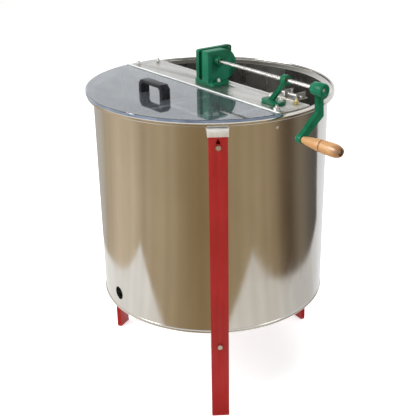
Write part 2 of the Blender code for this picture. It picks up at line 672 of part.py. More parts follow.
def crank(mat, steel, axis):
    """Cast crank: hub clamped by a set screw, bent arm and a boss for the grip's spindle."""
    hub = lathe("crank_arm", [(SHAFT_R + GAP, HUB_FROM), (CRANK_HUB_R - 5.0, HUB_FROM),
                              (CRANK_HUB_R - 1.0, HUB_FROM + 6.0), (CRANK_HUB_R, HUB_TO - 4.0),
                              (CRANK_HUB_R - 2.0, HUB_TO), (SHAFT_R + 7.0, HUB_TO),
                              (SHAFT_R + 5.0, HUB_TO - 3.0), (SHAFT_R + GAP, HUB_TO - 3.0)],
                mat, 28, closed=True, parent=axis)
    hub.rotation_euler = ALONG_X
    outline = [(-z, y) for y, z in arm_outline()]
    web = prism("crank_web", outline, ARM_X[0], ARM_X[1], None, axis)
    web.rotation_euler = ALONG_X
    join(hub, web)
    boss = rod("crank_boss", 11.0, ARM_X[0] - 2.0, ARM_X[1] + 1.0, None, 24, axis)
    join(hub, place(boss, (0, PIN[0], PIN[1]), ALONG_X))
    bore = rod("crank_bore", SHAFT_R + GAP, HUB_FROM - 5.0, HUB_TO - 3.0, None, 24, axis)
    bore.rotation_euler = ALONG_X
    cut(hub, bore)
    pin_hole = rod("crank_pin_cutter", 5.0 + GAP, ARM_X[0] - 5.0, ARM_X[1] + 5.0, None, 20, axis)
    cut(hub, place(pin_hole, (0, PIN[0], PIN[1]), ALONG_X))
    screw_x = HUB_TO - 12.0
    drill = rod("crank_screw_cutter", 3.6, SHAFT_R, CRANK_HUB_R + 5.0, None, 12, axis)
    cut(hub, place(drill, (screw_x, 0, 0), (-math.pi / 2, 0.0, 0.0)))
    screw = bolt("crank_set_screw", 10.0, 4.5, 3.0, CRANK_HUB_R - SHAFT_R - GAP, steel, parent=axis)
    place(screw, (screw_x, CRANK_HUB_R + GAP, 0), (-math.pi / 2, 0.0, 0.0))


def grip(wood, steel, axis):
    """Turned wooden grip that spins on a headed spindle riveted in the crank's boss."""
    pin_axis = bpy.data.objects.new("grip_axis", None)
    bpy.context.collection.objects.link(pin_axis)
    pin_axis.parent = axis
    pin_axis.location = Vector((0, PIN[0], PIN[1])) * MM
    bore = 5.0
    end = GRIP_FROM + GRIP_LEN
    shape = [(8.4, 0.0), (9.2, 0.03), (11.4, 0.14), (13.8, 0.29), (15.6, 0.42), (16.2, 0.49),
             (15.1, 0.505), (15.1, 0.525), (16.5, 0.54), (GRIP_R - 0.4, 0.64), (GRIP_R, 0.76),
             (GRIP_R - 0.4, 0.86), (GRIP_R - 2.4, 0.945), (GRIP_R - 6.0, 1.0)]
    profile = [(r, GRIP_FROM + t * GRIP_LEN) for r, t in shape]
    profile += [(9.0, end), (9.0, end - 9.0), (bore + GAP, end - 9.0), (bore + GAP, GRIP_FROM)]
    obj = lathe("grip", profile, wood, 24, closed=True, parent=pin_axis)
    obj.rotation_euler = ALONG_X
    spindle = lathe("grip_spindle", [(0, ARM_X[0] - 5.0), (8.0, ARM_X[0] - 5.0),
                                     (8.0, ARM_X[0] - 2.0 - GAP), (bore, ARM_X[0] - 2.0 - GAP),
                                     (bore, end - 9.0 + GAP), (7.8, end - 9.0 + GAP),
                                     (7.0, end - 4.5), (0, end - 4.0)], steel, 20, parent=pin_axis)
    spindle.rotation_euler = ALONG_X


# ---------------------------------------------------------------- basket

def basket_shaft(mat, axis):
    low = TANK_FOOT + 30.0 + GAP + 8.0
    neck = SHAFT_Z - GEAR_R - 8.0 - GAP
    top = SHAFT_Z - GEAR_R + 5.0
    profile = [(0, low), (2.0, low), (BASKET_SHAFT_R - 2.0, low + 8.0), (BASKET_SHAFT_R, low + 11.0),
               (BASKET_SHAFT_R, neck), (PINION_SEAT_R, neck), (PINION_SEAT_R, top), (0, top)]
    return lathe("basket_shaft", profile, mat, 24, parent=axis)


def spider(name, z, reach, mat, axis):
    """Clamped hub with four flat arms and the square frame that carries the cages."""
    t = 5.0
    hub = lathe(name, [(BASKET_SHAFT_R + GAP, z), (24.0, z), (24.0, z + 22.0),
                       (BASKET_SHAFT_R + GAP, z + 22.0)], mat, 24, closed=True, parent=axis)
    outer = CAGE_R + CAGE_T / 2
    inner = outer - 18.0
    square = block(name + "_square", (-outer, -outer, z), (outer, outer, z + t), None, axis)
    window = block(name + "_window", (-inner, -inner, z - 5.0), (inner, inner, z + 9.0), None, axis)
    join(hub, cut(square, window))
    for i in range(CAGE_COUNT):
        arm = block(f"{name}_arm_{i + 1}", (20.0, -9.0, z + 0.5), (reach, 9.0, z + t - 0.5), None, axis)
        arm.rotation_euler = (0.0, 0.0, math.radians(90 * i))
        join(hub, arm)
    return hub


def frame_cage(index, mat, axis):
    """Open-topped cage for one comb."""
    low = BASKET_FOOT + 5.0 + GAP
    high = BASKET_TOP - GAP
    t = CAGE_T
    half = CAGE_W / 2
    obj = block(f"frame_cage_{index}", (CAGE_R, -half, low), (CAGE_R + CAGE_D, half, high), mat,
                axis)
    room = block(f"cage_room_{index}", (CAGE_R + t, -half + t, low + t),
                 (CAGE_R + CAGE_D - t, half - t, high + 5.0), None, axis)
    cut(obj, room)
    for item in (obj, room):
        item.rotation_euler = (0.0, 0.0, math.radians(90 * (index - 1)))
    return obj


def bearings(bronze, steel):
    """Pivot cup on the tank's floor and flanged bush in the crossbar."""
    seat = TANK_FOOT + 30.0 + GAP
    lathe("pivot_cup", [(0, seat), (32.0, seat), (32.0, seat + 5.0), (17.0, seat + 6.0),
                        (17.0, seat + 28.0), (BASKET_SHAFT_R + GAP, seat + 28.0),
                        (BASKET_SHAFT_R + GAP, seat + 19.0), (BASKET_SHAFT_R - 2.0, seat + 15.0),
                        (2.0, seat + 7.4), (0, seat + 7.4)], steel, 24)
    lathe("top_bush", [(BASKET_SHAFT_R + GAP, RIM_TOP - 26.0), (14.5, RIM_TOP - 26.0),
                       (14.5, RIM_TOP - 5.0), (30.0, RIM_TOP - 5.0), (30.0, RIM_TOP),
                       (14.5, RIM_TOP), (14.5, BAR_TOP - 0.5), (BASKET_SHAFT_R + GAP, BAR_TOP - 0.5)],
          bronze, 24, closed=True)


# ---------------------------------------------------------------- latch

LATCH_Y = 68.0
LATCH_Z = BAR_TOP + 10.0
LATCH_R = 4.0


def latch(steel):
    """Keeper bracket behind the bar with a sliding bolt for the rear cover."""
    low = BAR_TOP + GAP
    plate = block("latch_bracket", (228.0, 49.0, low), (304.0, 98.0, low + 2.5), steel)
    for i, x in enumerate((252.0, 300.0)):
        wall = block(f"latch_wall_{i + 1}", (x, 58.0, low + 1.0), (x + 3.0, 90.0, low + 20.0), None)
        join(plate, wall)
        hole = rod(f"latch_cutter_{i + 1}", LATCH_R + GAP, x - 5.0, x + 8.0, None, 20)
        cut(plate, place(hole, (0, LATCH_Y, LATCH_Z), ALONG_X))
    slide = rod("latch_bolt", LATCH_R, 236.0, 312.0, steel, 20)
    place(slide, (0, LATCH_Y, LATCH_Z), ALONG_X)
    knob = rod("latch_knob", 2.5, 2.0, 13.0, None, 12)
    join(slide, place(knob, (272.0, LATCH_Y, LATCH_Z)))


# ---------------------------------------------------------------- assembly

def axis_empty(name, location):
    empty = bpy.data.objects.new(name, None)
    bpy.context.collection.objects.link(empty)
    empty.parent = root
    empty.location = Vector(location) * MM
    return empty


def build():
    global root
    for obj in list(bpy.data.objects):
        bpy.data.objects.remove(obj)
    root = bpy.data.objects.new("stand_frame", None)
    bpy.context.collection.objects.link(root)
    root.location = Vector((-MID_X, -MID_Y, 0)) * MM

    stainless = material("stainless", (0.62, 0.60, 0.56), 1.0, 0.15)
    red = material("red_paint", (0.48, 0.02, 0.025), 0.0, 0.4)
    bare = material("bare_steel", (0.6, 0.58, 0.55), 0.9, 0.4)
    green = material("green_enamel", (0.01, 0.2, 0.08), 0.0, 0.35)
    steel = material("bright_steel", (0.75, 0.73, 0.7), 1.0, 0.25)
    brass = material("brass", (0.75, 0.6, 0.25), 1.0, 0.3)
    bronze = material("bronze", (0.55, 0.36, 0.16), 1.0, 0.35)
    wood = material("varnished_wood", (0.6, 0.33, 0.14), 0.0, 0.35)
    clear = material("clear_sheet", (0.8, 0.85, 0.88), 0.0, 0.08)
    white = material("white_strip", (0.85, 0.87, 0.85), 0.0, 0.3)
    black = material("black_plastic", (0.02, 0.02, 0.025), 0.0, 0.35)
    iron = material("gear_steel", (0.3, 0.29, 0.28), 1.0, 0.4)

    tank_wall(stainless)
    tank_floor(stainless)
    for i, azimuth in enumerate(LEG_AZ):
        leg(i + 1, azimuth, red)
        leg_socket(i + 1, azimuth, bare)
        leg_bolts(i + 1, azimuth, steel)
    base_frame(red)
    crossbar(stainless)
    bar_bolts(steel, brass)
    bar_lugs(stainless)
    lid(clear, white, black, steel)

    basket_axis = axis_empty("basket_axis", (0, 0, 0))
    crank_axis = axis_empty("crank_axis", (0, 0, SHAFT_Z))
    gearbox_case(green)
    gearbox_cover(green, steel)
    gearbox_bolts(steel)
    drive_gears(iron, crank_axis, basket_axis)
    crank_shaft(steel, crank_axis)
    bush("case_bush", CASE_X[1] - 3.0, BOSS_TO - 4.0, bronze)
    bearing_bracket(green, bronze, steel)
    crank(green, steel, crank_axis)
    grip(wood, steel, crank_axis)

    basket_shaft(steel, basket_axis)
    spider("basket_foot", BASKET_FOOT, CAGE_R + CAGE_D, steel, basket_axis)
    spider("basket_top", BASKET_TOP, CAGE_R - 3.0, steel, basket_axis)
    for i in range(CAGE_COUNT):
        frame_cage(i + 1, stainless, basket_axis)
    bearings(bronze, steel)
    latch(stainless)


build()
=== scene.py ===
"""Looks of the hand-cranked honey extractor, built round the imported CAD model.

Everything is in metres in the CAD frame. Small lengths are written in millimetres
and multiplied with MM. Azimuths are about the tank's axis.
"""

import json
import math

import bmesh
import bpy
from mathutils import Matrix, Vector, noise


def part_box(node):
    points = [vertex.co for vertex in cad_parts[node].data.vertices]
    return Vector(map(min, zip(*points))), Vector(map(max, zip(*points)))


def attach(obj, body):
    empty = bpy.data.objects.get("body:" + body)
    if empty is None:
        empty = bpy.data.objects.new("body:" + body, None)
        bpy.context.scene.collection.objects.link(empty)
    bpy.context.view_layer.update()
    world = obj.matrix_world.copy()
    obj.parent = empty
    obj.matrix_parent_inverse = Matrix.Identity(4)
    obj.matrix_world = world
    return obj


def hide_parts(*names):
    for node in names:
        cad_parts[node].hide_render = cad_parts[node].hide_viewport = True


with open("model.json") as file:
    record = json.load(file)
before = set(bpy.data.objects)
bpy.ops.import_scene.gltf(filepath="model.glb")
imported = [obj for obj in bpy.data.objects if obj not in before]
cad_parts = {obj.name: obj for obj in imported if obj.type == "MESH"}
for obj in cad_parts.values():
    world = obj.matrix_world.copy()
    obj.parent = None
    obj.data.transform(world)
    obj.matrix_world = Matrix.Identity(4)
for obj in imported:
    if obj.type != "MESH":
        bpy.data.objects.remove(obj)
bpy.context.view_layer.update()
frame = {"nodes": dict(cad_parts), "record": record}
MM = 0.001

TANK_LOW, TANK_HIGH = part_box("tank_wall")
AXIS_X = (TANK_LOW[0] + TANK_HIGH[0]) / 2
AXIS_Y = (TANK_LOW[1] + TANK_HIGH[1]) / 2
RIM = TANK_HIGH[2]
FOOT = TANK_LOW[2]
COLLAR_OUT = 20.0 * MM                  # how far the collar stands out from the wall
TANK_R = (TANK_HIGH[0] - TANK_LOW[0]) / 2 - COLLAR_OUT
SHEET = 1.5 * MM

# Camera, from the middle of the rim
CAMERA_OFFSET = (1.8522, -1.4450, 0.6175)
CAMERA_HEADING = math.radians(141.576)
CAMERA_PITCH = math.radians(23.449)
CAMERA_ROLL = -0.010
CAMERA_LENS = 70.35
CAMERA_SHIFT = -0.020


# ---------------------------------------------------------------- node helpers

NOISE_LOW, NOISE_HIGH = 0.3, 0.7        # a noise hardly ever leaves this range
MIX_FACTOR, MIX_A, MIX_B, MIX_RESULT = 0, 6, 7, 2   # colour sockets of the Mix node


def fill_ramp(node, stops):
    """Set a colour ramp's stops from (position, colour) pairs."""
    elements = node.color_ramp.elements
    while len(elements) < len(stops):
        elements.new(0.5)
    for element, (position, color) in zip(elements, stops):
        element.position = position
        element.color = (*color, 1.0)


class Shader:
    """A small builder for one Principled material.

    The plain colour and roughness are the stand-ins under the sockets that nodes drive.
    """

    def __init__(self, name, color=(0.8, 0.8, 0.8), metallic=0.0, roughness=0.5, **sockets):
        self.mat = bpy.data.materials.new(name)
        self.mat.use_nodes = True
        self.tree = self.mat.node_tree
        self.main = self.tree.nodes["Principled BSDF"]
        self.set(Base_Color=(*color, 1.0), Metallic=metallic, Roughness=roughness, **sockets)

    def set(self, **sockets):
        for key, value in sockets.items():
            self.main.inputs[key.replace("_", " ")].default_value = value

    def node(self, kind, **settings):
        node = self.tree.nodes.new(kind)
        for key, value in settings.items():
            if key in node.inputs:
                node.inputs[key].default_value = value
            else:
                setattr(node, key, value)
        return node

    def link(self, source, target):
        self.tree.links.new(source, target)

    def coords(self, scale=(1.0, 1.0, 1.0), location=(0.0, 0.0, 0.0)):
        source = self.node("ShaderNodeTexCoord")
        mapping = self.node("ShaderNodeMapping")
        mapping.inputs["Scale"].default_value = scale
        mapping.inputs["Location"].default_value = location
        self.link(source.outputs["Object"], mapping.inputs["Vector"])
        return mapping.outputs["Vector"]

    def noise(self, vector, scale, detail=4.0, roughness=0.5, distortion=0.0):
        node = self.node("ShaderNodeTexNoise", Scale=scale, Detail=detail, Roughness=roughness,
                         Distortion=distortion)
        self.link(vector, node.inputs["Vector"])
        return node.outputs["Fac"]

    def ramp(self, value, stops):
        node = self.node("ShaderNodeValToRGB")
        fill_ramp(node, stops)
        self.link(value, node.inputs["Fac"])
        return node.outputs["Color"]

    def two_tone(self, value, dark, light):
        """Colour from dark to light over the part of a noise's range that it uses."""
        return self.ramp(value, [(NOISE_LOW, dark), (NOISE_HIGH, light)])

    def grey(self, value, low, high, start=NOISE_LOW, end=NOISE_HIGH):
        node = self.node("ShaderNodeMapRange")
        node.inputs["From Min"].default_value = start
        node.inputs["From Max"].default_value = end
        node.inputs["To Min"].default_value = low
        node.inputs["To Max"].default_value = high
        self.link(value, node.inputs["Value"])
        return node.outputs["Result"]

    def math(self, operation, a, b=None):
        node = self.node("ShaderNodeMath", operation=operation)
        for socket, value in zip(node.inputs, (a, b)):
            if value is None:
                continue
            if isinstance(value, (int, float)):
                socket.default_value = value
            else:
                self.link(value, socket)
        return node.outputs["Value"]

    def mix(self, factor, a, b):
        node = self.node("ShaderNodeMix", data_type='RGBA')
        for index, value in ((MIX_FACTOR, factor), (MIX_A, a), (MIX_B, b)):
            socket = node.inputs[index]
            if isinstance(value, tuple):
                socket.default_value = (*value, 1.0)
            elif isinstance(value, (int, float)):
                socket.default_value = value
            else:
                self.link(value, socket)
        return node.outputs[MIX_RESULT]

    def bump(self, height, strength, distance, after=None):
        node = self.node("ShaderNodeBump", Strength=strength, Distance=distance)
        self.link(height, node.inputs["Height"])
        if after is not None:
            self.link(after, node.inputs["Normal"])
        self.link(node.outputs["Normal"], self.main.inputs["Normal"])
        return node.outputs["Normal"]

    def color(self, value):
        self.link(value, self.main.inputs["Base Color"])

    def rough(self, value):
        self.link(value, self.main.inputs["Roughness"])

    def convex_edge_highlight(self):
        """0 on flat faces, where pointiness is 0.5, and 1 along convex edges: the mask of a painted
        highlight.
        """
        geometry = self.node("ShaderNodeNewGeometry")
        return self.grey(geometry.outputs["Pointiness"], 0.0, 1.0, 0.52, 0.6)


# ---------------------------------------------------------------- materials

def polished_steel():
    """Bright rolled stainless sheet: fine vertical polish, faint waviness and smears."""
    m = Shader("polished_steel", (0.70, 0.675, 0.63), 1.0, 0.1)
    wide = m.noise(m.coords((3.0, 3.0, 1.2)), 2.2, 3.0)
    fine = m.noise(m.coords((1.0, 1.0, 0.02)), 700.0, 2.0)
    smear = m.noise(m.coords((6.0, 6.0, 2.5), (0.3, 0.1, 0.0)), 3.0, 6.0, 0.6)
    m.color(m.two_tone(wide, (0.66, 0.63, 0.58), (0.75, 0.73, 0.69)))
    base = m.grey(smear, 0.06, 0.15)
    m.rough(m.math('ADD', base, m.grey(fine, 0.0, 0.03)))
    first = m.bump(wide, 0.12, 0.004)
    m.bump(fine, 0.04, 0.0002, first)
    return m.mat


def inner_steel_painted_shade():
    """The tank's inside: the same sheet, duller, with painted shade: its colour is kept darker than the
    outside's.
    """
    m = Shader("inner_steel_painted_shade", (0.42, 0.41, 0.38), 1.0, 0.26)
    smear = m.noise(m.coords((1.0, 1.0, 0.35)), 7.0, 6.0, 0.65)
    fine = m.noise(m.coords((1.0, 1.0, 0.02)), 500.0, 2.0)
    # painted shade: the inside's colour is darker than the outer sheet's
    m.color(m.two_tone(smear, (0.34, 0.33, 0.30), (0.52, 0.51, 0.48)))
    m.rough(m.math('ADD', m.grey(smear, 0.16, 0.34), m.grey(fine, 0.0, 0.05)))
    m.bump(smear, 0.2, 0.003)
    return m.mat


def satin_steel():
    """Satin sheet and bar, brushed along X."""
    m = Shader("satin_steel", (0.72, 0.70, 0.66), 1.0, 0.32)
    grain = m.noise(m.coords((0.015, 1.0, 1.0)), 900.0, 3.0)
    smear = m.noise(m.coords(), 9.0, 5.0, 0.6)
    m.color(m.two_tone(smear, (0.64, 0.62, 0.58), (0.76, 0.745, 0.71)))
    m.rough(m.math('ADD', m.grey(smear, 0.24, 0.36), m.grey(grain, -0.05, 0.05)))
    m.bump(grain, 0.1, 0.0002)
    return m.mat


def dark_steel():
    """Dull zinc on small folded parts."""
    m = Shader("dark_steel", (0.36, 0.35, 0.33), 1.0, 0.34)
    smear = m.noise(m.coords(), 70.0, 5.0, 0.6)
    m.color(m.two_tone(smear, (0.26, 0.25, 0.235), (0.48, 0.47, 0.44)))
    m.rough(m.grey(smear, 0.26, 0.44))
    return m.mat


def bright_steel():
    """Turned and plated shafts, screws and nuts, with fine turning lines."""
    m = Shader("bright_steel", (0.80, 0.79, 0.76), 1.0, 0.18)
    smear = m.noise(m.coords(), 60.0, 4.0, 0.6)
    m.color(m.two_tone(smear, (0.74, 0.72, 0.68), (0.86, 0.85, 0.82)))
    m.rough(m.grey(smear, 0.22, 0.36))
    turned = m.noise(m.coords((1.0, 0.02, 0.02)), 1500.0, 2.0)
    m.bump(turned, 0.05, 0.0001)
    return m.mat


def bare_steel():
    """Bare pressed sockets, dull and pale from handling."""
    m = Shader("bare_steel", (0.86, 0.85, 0.82), 0.7, 0.38)
    smear = m.noise(m.coords(), 45.0, 5.0, 0.6)
    m.color(m.two_tone(smear, (0.74, 0.72, 0.68), (0.92, 0.91, 0.89)))
    m.rough(m.grey(smear, 0.3, 0.48))
    m.bump(m.noise(m.coords(), 500.0, 3.0), 0.08, 0.0003)
    return m.mat


def brass():
    """Dull brass of the one odd nut."""
    m = Shader("brass", (0.80, 0.66, 0.30), 1.0, 0.25)
    smear = m.noise(m.coords(), 80.0, 4.0)
    m.color(m.two_tone(smear, (0.68, 0.53, 0.20), (0.90, 0.78, 0.42)))
    m.rough(m.grey(smear, 0.2, 0.38))
    return m.mat


def bronze():
    """Cast bronze bushes."""
    m = Shader("bronze", (0.52, 0.34, 0.16), 1.0, 0.35)
    smear = m.noise(m.coords(), 90.0, 4.0)
    m.color(m.two_tone(smear, (0.42, 0.26, 0.12), (0.60, 0.41, 0.20)))
    m.rough(m.grey(smear, 0.28, 0.45))
    return m.mat


def gear_steel():
    """Dark oiled teeth."""
    m = Shader("gear_steel", (0.33, 0.32, 0.31), 1.0, 0.4)
    smear = m.noise(m.coords(), 120.0, 4.0)
    m.color(m.two_tone(smear, (0.24, 0.23, 0.22), (0.42, 0.41, 0.40)))
    m.rough(m.grey(smear, 0.3, 0.5))
    return m.mat


def red_paint():
    """Sprayed red gloss with a faint orange peel and darker scuffs."""
    m = Shader("red_paint", (0.36, 0.008, 0.010), 0.0, 0.36, Specular_IOR_Level=0.28)
    cloud = m.noise(m.coords(), 5.0, 4.0, 0.6)
    peel = m.noise(m.coords(), 420.0, 2.0)
    scuff = m.noise(m.coords((3.0, 3.0, 0.6), (0.4, 0.2, 0.0)), 22.0, 8.0, 0.75)
    m.color(m.mix(m.grey(scuff, 0.0, 0.5, 0.62, 0.78),
                  m.two_tone(cloud, (0.25, 0.005, 0.003), (0.33, 0.008, 0.006)),
                  (0.19, 0.008, 0.006)))
    m.rough(m.grey(scuff, 0.26, 0.44))
    m.bump(peel, 0.12, 0.0004)
    return m.mat


def green_enamel():
    """Thick green enamel over a sand-cast surface, with a painted highlight: paler green along the
    edges.
    """
    m = Shader("green_enamel", (0.004, 0.10, 0.05), 0.0, 0.34, Specular_IOR_Level=0.16)
    cloud = m.noise(m.coords(), 22.0, 4.0, 0.6)
    cast = m.noise(m.coords(), 260.0, 4.0, 0.65)
    skin = m.two_tone(cloud, (0.001, 0.072, 0.031), (0.003, 0.116, 0.052))
    # paler green along convex edges is a painted highlight
    m.color(m.mix(m.math('MULTIPLY', m.convex_edge_highlight(), 0.50), skin, (0.02, 0.22, 0.13)))
    m.rough(m.grey(cloud, 0.22, 0.38))
    m.bump(cast, 0.22, 0.0009)
    return m.mat


def varnished_wood():
    """Turned beech under clear varnish: long streaks, fine flecks and a darker far end."""
    m = Shader("varnished_wood", (0.60, 0.33, 0.13), 0.0, 0.34, Coat_Weight=0.5, Coat_Roughness=0.1)
    streak = m.noise(m.coords((0.22, 3.0, 3.0)), 26.0, 6.0, 0.62, 0.6)
    fleck = m.noise(m.coords((0.12, 1.0, 1.0)), 620.0, 3.0, 0.7)
    board = m.ramp(streak, [(0.28, (0.32, 0.150, 0.054)), (0.5, (0.46, 0.245, 0.098)),
                            (0.72, (0.56, 0.325, 0.150))])
    flecked = m.mix(m.grey(fleck, 0.0, 0.35, 0.55, 0.72), board, (0.34, 0.15, 0.05))
    along = m.node("ShaderNodeSeparateXYZ")
    m.link(m.node("ShaderNodeTexCoord").outputs["Generated"], along.inputs[0])
    m.color(m.mix(m.grey(along.outputs["X"], 0.0, 0.85, 0.82, 1.0), flecked, (0.20, 0.08, 0.03)))
    m.rough(m.grey(fleck, 0.28, 0.42))
    m.bump(fleck, 0.08, 0.0003)
    return m.mat


def burnt_line():
    """The line burnt round the grip."""
    m = Shader("burnt_line", (0.23, 0.10, 0.035), 0.0, 0.5)
    smear = m.noise(m.coords(), 150.0, 4.0)
    m.color(m.two_tone(smear, (0.16, 0.065, 0.022), (0.33, 0.15, 0.06)))
    return m.mat


def clear_sheet():
    """Clear acrylic with a faint blue cast and fine wipe marks."""
    m = Shader("clear_sheet", (0.90, 0.945, 0.97), 0.0, 0.03, IOR=1.49, Transmission_Weight=0.93,
               Specular_IOR_Level=0.75, Coat_Weight=0.6, Coat_Roughness=0.02)
    smear = m.noise(m.coords((1.0, 2.2, 1.0)), 7.0, 6.0, 0.65)
    m.color(m.two_tone(smear, (0.36, 0.41, 0.47), (0.62, 0.67, 0.73)))
    m.rough(m.grey(smear, 0.0, 0.035))
    return m.mat


def blue_edge():
    """The acrylic's bent lip, where the sheet gathers light and looks blue."""
    m = Shader("blue_edge", (0.30, 0.42, 0.60), 0.0, 0.12, IOR=1.49, Transmission_Weight=0.35,
               Coat_Weight=0.4, Coat_Roughness=0.05)
    smear = m.noise(m.coords(), 14.0, 4.0)
    m.color(m.two_tone(smear, (0.13, 0.17, 0.24), (0.30, 0.36, 0.46)))
    m.rough(m.grey(smear, 0.08, 0.2))
    return m.mat


def white_strip():
    """Plastic strip along the lid's straight edge, coloured white as a painted highlight of the edge."""
    m = Shader("white_strip", (0.87, 0.89, 0.87), 0.0, 0.28, Coat_Weight=0.3, Coat_Roughness=0.1)
    smear = m.noise(m.coords((0.2, 1.0, 1.0)), 40.0, 4.0)
    # the pale colour is a painted highlight along the lid's edge
    m.color(m.two_tone(smear, (0.55, 0.58, 0.57), (0.74, 0.76, 0.75)))
    m.rough(m.grey(smear, 0.22, 0.36))
    return m.mat


def black_plastic():
    """Moulded black handle, finely grained."""
    m = Shader("black_plastic", (0.012, 0.012, 0.015), 0.0, 0.3, Specular_IOR_Level=0.25)
    grain = m.noise(m.coords(), 900.0, 3.0)
    smear = m.noise(m.coords(), 30.0, 4.0)
    m.color(m.two_tone(smear, (0.008, 0.008, 0.011), (0.020, 0.020, 0.025)))
    m.rough(m.grey(smear, 0.24, 0.38))
    m.bump(grain, 0.08, 0.0002)
    return m.mat


# ---------------------------------------------------------------- mesh helpers

def link_mesh(name, bm):
    """Free a bmesh into a new object in the scene."""
    mesh = bpy.data.meshes.new(name)
    bm.to_mesh(mesh)
    bm.free()
    obj = bpy.data.objects.new(name, mesh)
    bpy.context.scene.collection.objects.link(obj)
    return obj


def new_object(name, bm, mat, body, angle, smooth=True):
    """A visible piece that rides on a body; edges sharper than angle stay sharp."""
    bmesh.ops.recalc_face_normals(bm, faces=bm.faces)
    obj = link_mesh(name, bm)
    if smooth:
        obj.data.shade_smooth()
        obj.data.set_sharp_from_angle(angle=math.radians(angle))
    obj.data.materials.append(mat)
    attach(obj, body)
    return obj


def apply_modifiers(obj):
    """Replace an object's mesh with the result of its modifiers."""
    graph = bpy.context.evaluated_depsgraph_get()
    mesh = bpy.data.meshes.new_from_object(obj.evaluated_get(graph))
    old = obj.data
    obj.modifiers.clear()
    obj.data = mesh
    mesh.name = obj.name
    bpy.data.meshes.remove(old)


def lathe_mesh(profile, steps):
    """Closed (radius, height) profile in metres, turned about Z."""
    bm = bmesh.new()
    loops = []
    for i in range(steps):
        a = 2 * math.pi * i / steps
        loops.append([bm.verts.new((r * math.cos(a), r * math.sin(a), z)) for r, z in profile])
    count = len(profile)
    for i in range(steps):
        a, b = loops[i], loops[(i + 1) % steps]
        for j in range(count):
            k = (j + 1) % count
            bm.faces.new((a[j], b[j], b[k], a[k]))
    bmesh.ops.remove_doubles(bm, verts=bm.verts, dist=1e-6)
    return bm


def arc(center, radius, start, end, count):
    """Points on an arc between two angles in degrees, count + 1 of them."""
    points = []
    for i in range(count + 1):
        a = math.radians(start + (end - start) * i / count)
        points.append((center[0] + radius * math.cos(a), center[1] + radius * math.sin(a)))
    return points


def soften(node, width, segments, mat):
    """A copy of a CAD node with rounded edges that stands for it."""
    source = frame["nodes"][node]
    body = next(b for b, nodes in frame["record"]["behaviour"]["bodies"].items() if node in nodes)
    bm = bmesh.new()
    bm.from_mesh(source.data)
    bmesh.ops.remove_doubles(bm, verts=bm.verts, dist=2e-6)
    bmesh.ops.dissolve_limit(bm, angle_limit=math.radians(1.0), verts=bm.verts, edges=bm.edges)
    sharp = [e for e in bm.edges
             if len(e.link_faces) == 2 and e.calc_face_angle(0.0) > math.radians(40.0)]
    if sharp:
        bmesh.ops.bevel(bm, geom=sharp, offset=width, segments=segments, profile=0.5, affect='EDGES',
                        clamp_overlap=True)
    obj = new_object(node + "_shape", bm, mat, body, 30.0)
    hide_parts(node)


def paint(mat, *nodes):
    """Give CAD nodes that keep their shape a material and smooth shading."""
    for node in nodes:
        obj = frame["nodes"][node]
        obj.data.materials.clear()
        obj.data.materials.append(mat)
        obj.data.shade_smooth()
        obj.data.set_sharp_from_angle(angle=math.radians(30))


# ---------------------------------------------------------------- pieces

OUTLET_AZIMUTH = math.radians(-93.2)
OUTLET_Z = RIM - 582.0 * MM
OUTLET_R = 20.0 * MM


def wall_point(azimuth, radius, z):
    """A point at an azimuth and radius about the tank's axis."""
    return Vector((AXIS_X + radius * math.cos(azimuth), AXIS_Y + radius * math.sin(azimuth), z))


def tank(mat, inner):
    """Smooth wall with its hemmed foot, flared collar, rolled rim and outlet hole."""
    radius = TANK_R
    out = radius + SHEET
    collar = radius + COLLAR_OUT
    flare = RIM - 17.0 * MM
    skirt = collar - SHEET
    profile = [(radius, FOOT), (out + 1.6 * MM, FOOT), (out + 2.2 * MM, FOOT + 2.5 * MM),
               (out + 1.6 * MM, FOOT + 7.0 * MM), (out, FOOT + 9.0 * MM), (out, flare)]
    profile += arc((out + 4.0 * MM, flare + 1.0 * MM), 4.0 * MM, 180, 120, 4)
    profile += [(out + 12.0 * MM, flare + 8.0 * MM), (skirt - 1.2 * MM, RIM - 7.5 * MM),
                (skirt - 1.2 * MM, RIM - 18.0 * MM)]
    # the collar's face bulges a little between its hem and its rolled top
    profile += arc((collar - 4.2 * MM, RIM - 13.5 * MM), 4.0 * MM, -75.0, -10.0, 6)
    profile += arc((collar - 22.0 * MM, RIM - 11.0 * MM), 22.0 * MM, -7.0, 16.0, 8)
    profile += arc((collar - 3.9 * MM, RIM - 3.2 * MM), 3.2 * MM, 20, 180, 9)
    profile += [(collar - 7.0 * MM, RIM - 6.0 * MM), (out + 11.0 * MM, flare + 9.5 * MM),
                (out + 2.0 * MM, flare + 5.5 * MM), (radius, flare + 1.0 * MM)]
    bm = lathe_mesh(profile, 288)
    bmesh.ops.translate(bm, verts=bm.verts, vec=(AXIS_X, AXIS_Y, 0))
    obj = new_object("tank_shell", bm, mat, "stand", 35.0)
    drill = bmesh.new()
    across = (Matrix.Translation(wall_point(OUTLET_AZIMUTH, radius, OUTLET_Z))
              @ Matrix.Rotation(OUTLET_AZIMUTH, 4, 'Z') @ Matrix.Rotation(math.pi / 2, 4, 'Y'))
    bmesh.ops.create_cone(drill, cap_ends=True, segments=64, radius1=OUTLET_R, radius2=OUTLET_R,
                          depth=30.0 * MM, matrix=across)
    tool = link_mesh("outlet_tool", drill)
    mod = obj.modifiers.new("outlet", 'BOOLEAN')
    mod.object = tool
    mod.operation = 'DIFFERENCE'
    apply_modifiers(obj)
    bpy.data.objects.remove(tool)
    # the inside faces take the steel with painted shade
    obj.data.materials.append(inner)
    for face in obj.data.polygons:
        if math.hypot(face.center.x - AXIS_X, face.center.y - AXIS_Y) < radius + 0.3 * MM:
            face.material_index = 1
    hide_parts("tank_wall")


